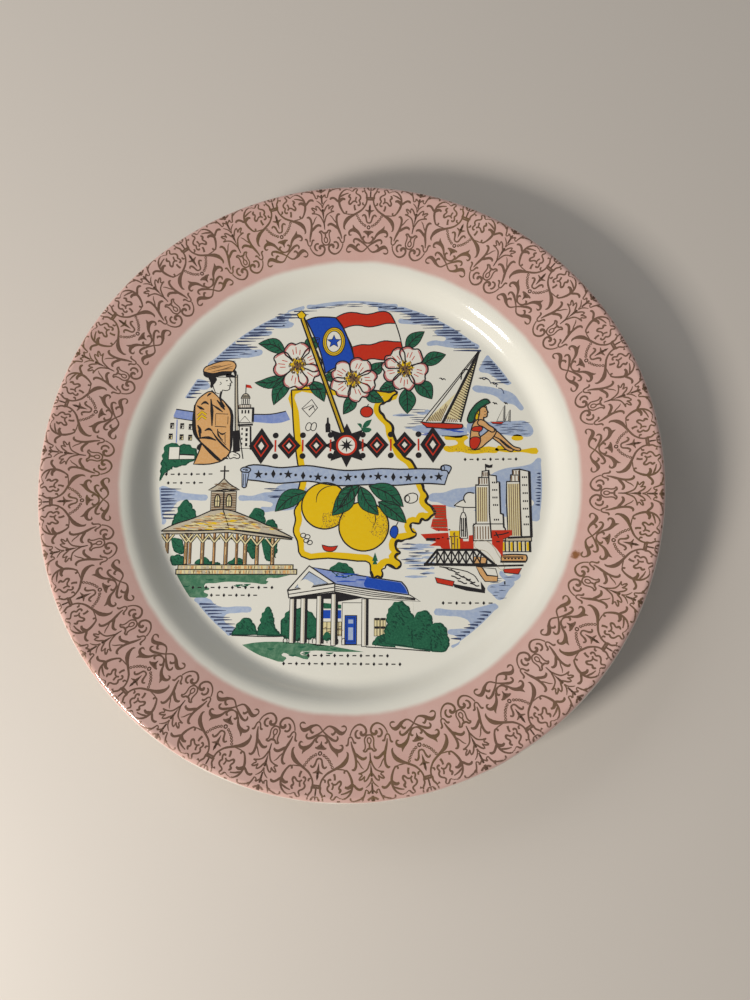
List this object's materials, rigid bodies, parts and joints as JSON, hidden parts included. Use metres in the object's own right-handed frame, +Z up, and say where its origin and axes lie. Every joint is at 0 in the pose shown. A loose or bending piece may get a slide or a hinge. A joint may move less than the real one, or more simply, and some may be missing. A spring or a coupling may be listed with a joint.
{
  "type": "souvenir plate",
  "caption": "Round earthenware souvenir plate with a pink lace-printed rim, an ivory well with a landmark picture, a rolled lip and a turned foot.",
  "frame": {"origin": "centre of the foot ring's resting face, at the bottom of the plate", "axes": "+Z up out of the plate's face along its axis; +Y towards the top of the picture, +X towards its right"},
  "size_m": [0.254, 0.254, 0.024],
  "materials": {
    "earthenware": "matte",
    "ivory_glaze": "gloss",
    "pink_glaze": "gloss",
    "worn_gilding": "satin",
    "picture_enamel": "gloss",
    "enamel_black": "gloss",
    "enamel_sky": "gloss",
    "enamel_navy": "gloss",
    "enamel_blue": "gloss",
    "enamel_green": "gloss",
    "enamel_yellow": "gloss",
    "enamel_red": "gloss",
    "enamel_tan": "gloss",
    "enamel_rose": "gloss"
  },
  "bodies": {
    "root": {"plate_body": "earthenware", "well_glaze": "ivory_glaze", "rim_pink_glaze": "pink_glaze", "back_glaze": "ivory_glaze", "foot_recess_glaze": "ivory_glaze", "picture_print": "picture_enamel", "rim_lace_print": "worn_gilding"}
  },
  "joints": []
}
